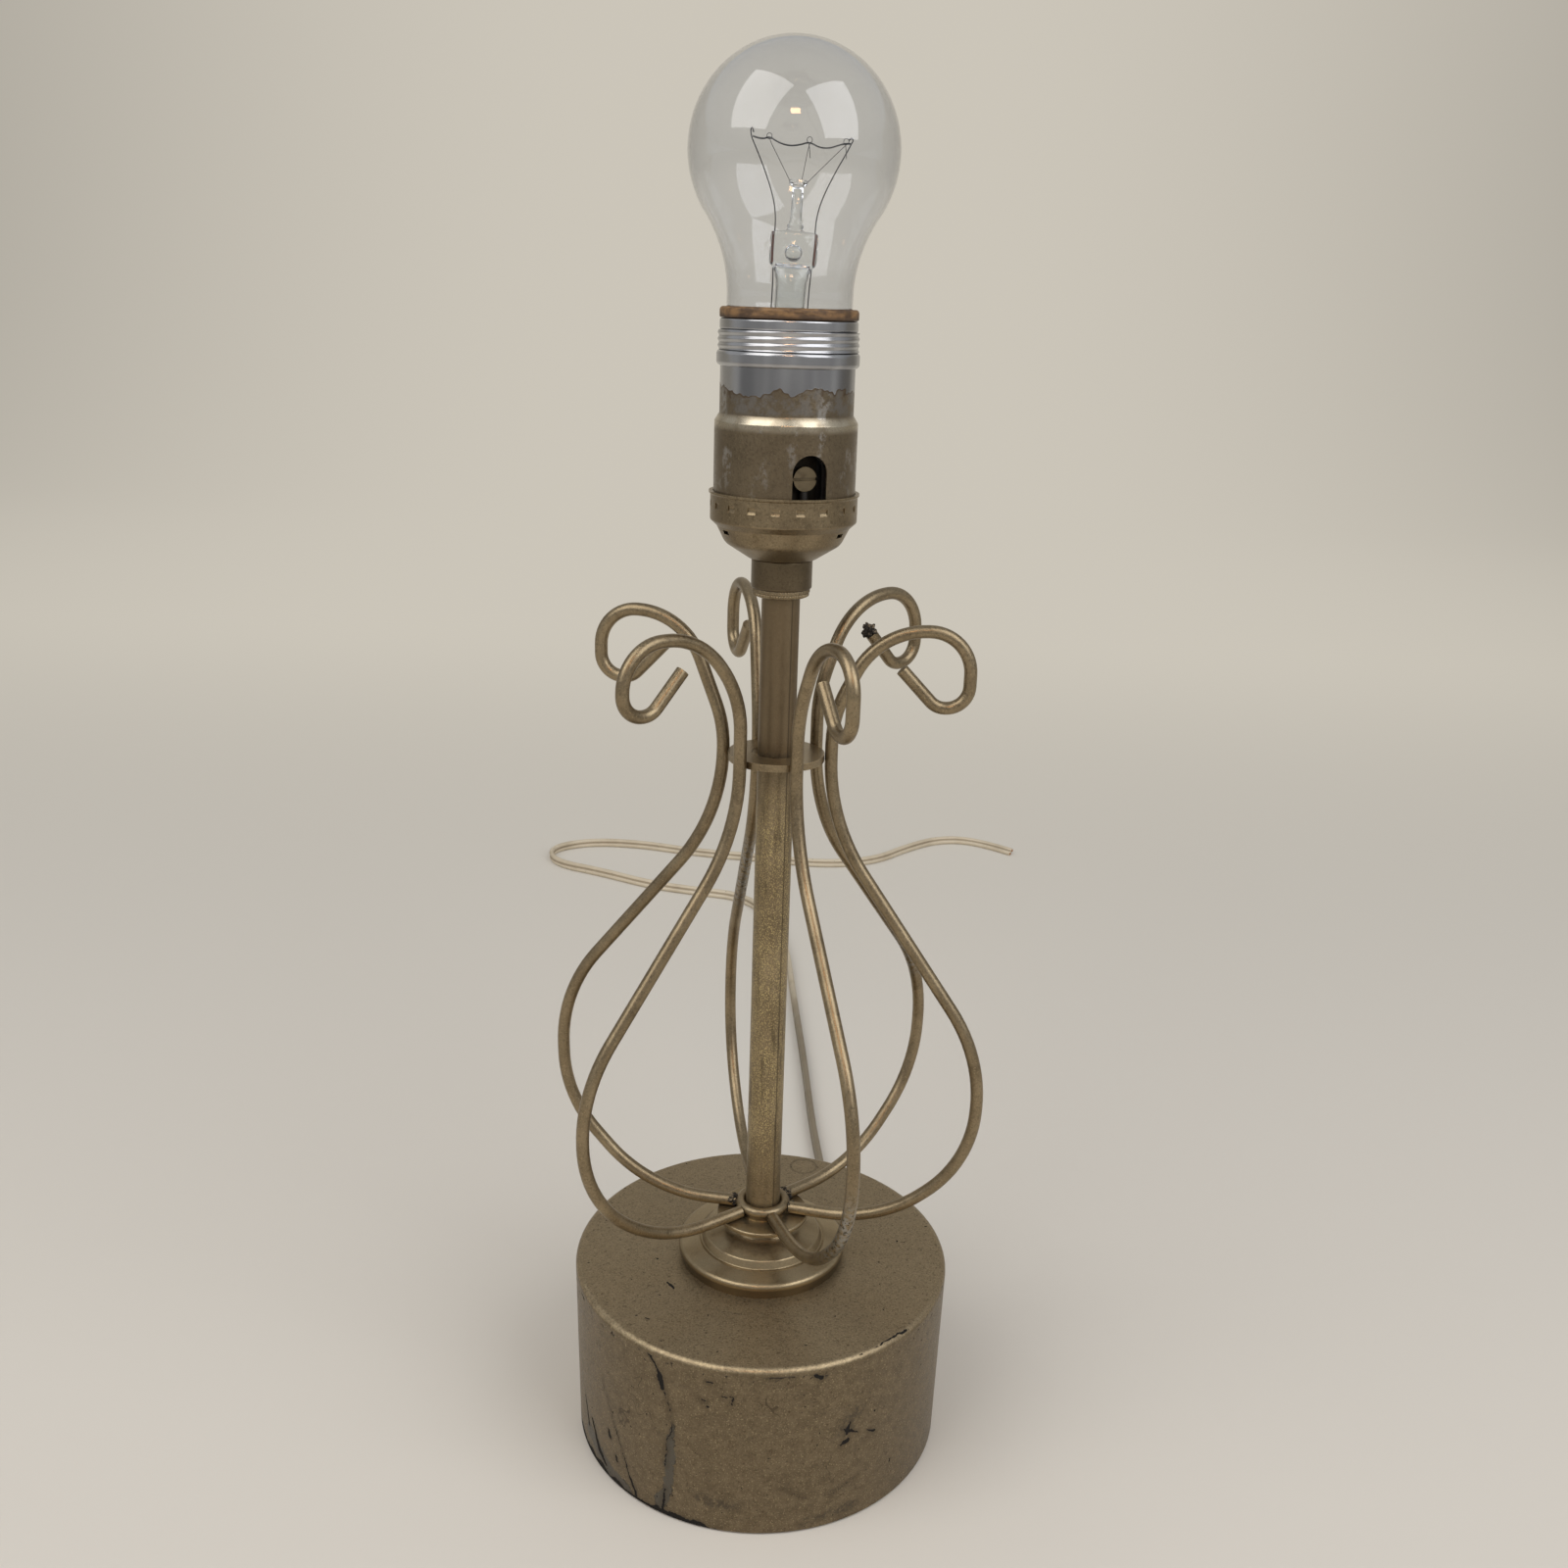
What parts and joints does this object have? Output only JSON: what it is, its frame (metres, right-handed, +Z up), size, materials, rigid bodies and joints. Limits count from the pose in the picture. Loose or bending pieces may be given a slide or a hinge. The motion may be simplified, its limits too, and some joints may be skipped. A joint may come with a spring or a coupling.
{
  "type": "table lamp",
  "caption": "Table lamp with a weighted drum base, a pipe stem in a bulb-shaped cage of scroll wires, an open screw socket and a clear bulb that unscrews",
  "frame": {"origin": "on the table under the stem's axis, on the felt's lower face", "axes": "+Z up along the stem, -Y to the front, +X to the right seen from the front"},
  "size_m": [0.2959, 0.601, 0.3953],
  "materials": {
    "gold_paint": "antique gold paint with dark speckle, worn at the edges",
    "iron": "rough casting",
    "zinc_steel": "zinc plated",
    "fibreboard": "raw board",
    "felt": "short felt",
    "rubber": "matt moulded rubber",
    "aluminium": "bright, slightly dulled",
    "fibre": "vulcanised fibre paper",
    "phenolic": "moulded phenolic",
    "brass": "plain stamped brass",
    "solder": "dull solder",
    "clear_glass": "clear blown glass",
    "tungsten": "drawn wire",
    "cord_jacket": "aged cream vinyl"
  },
  "bodies": {
    "lamp": {"base_drum": "gold_paint", "base_flange": "gold_paint", "seating_cup": "gold_paint", "cage_lower_ring": "gold_paint", "cage_upper_ring": "gold_paint", "stem_pipe": "gold_paint", "neck_locknut": "gold_paint", "socket_hub": "gold_paint", "socket_cap": "gold_paint", "scroll_wire_1": "gold_paint", "scroll_wire_2": "gold_paint", "scroll_wire_3": "gold_paint", "scroll_wire_4": "gold_paint", "scroll_wire_5": "gold_paint", "scroll_wire_6": "gold_paint", "base_weight": "iron", "base_washer": "zinc_steel", "base_hex_nut": "zinc_steel", "base_board": "fibreboard", "base_felt": "felt", "cord_grommet": "rubber", "socket_shell": "aluminium", "socket_liner": "fibre", "socket_body": "phenolic", "terminal_strap_front": "brass", "terminal_strap_rear": "brass", "terminal_screws": "brass", "screw_shell": "brass", "centre_contact": "brass", "cord_inner": "cord_jacket", "cord": "cord_jacket", "lead_front": "cord_jacket", "lead_rear": "cord_jacket"},
    "bulb_foot": {"bulb_contact": "solder", "bulb_insulator": "phenolic"},
    "bulb": {"bulb_cap": "aluminium", "bulb_glass": "clear_glass", "bulb_mount": "clear_glass", "bulb_leads": "zinc_steel", "bulb_supports": "zinc_steel", "bulb_filament": "tungsten"}
  },
  "joints": [
    {"name": "bulb_lift", "type": "slide", "parent": "lamp", "child": "bulb_foot", "axis": [0, 0, 1], "range_m": [0, 0.01815]},
    {"name": "bulb_turn", "type": "hinge", "parent": "bulb_foot", "child": "bulb", "pos_m": [0, 0, 0.31], "axis": [0, 0, 1], "range_deg": [0, 1800]}
  ],
  "couplings": [
    {"joint": "bulb_lift", "follows": "bulb_turn", "m_per_rad": 0.00057757}
  ]
}
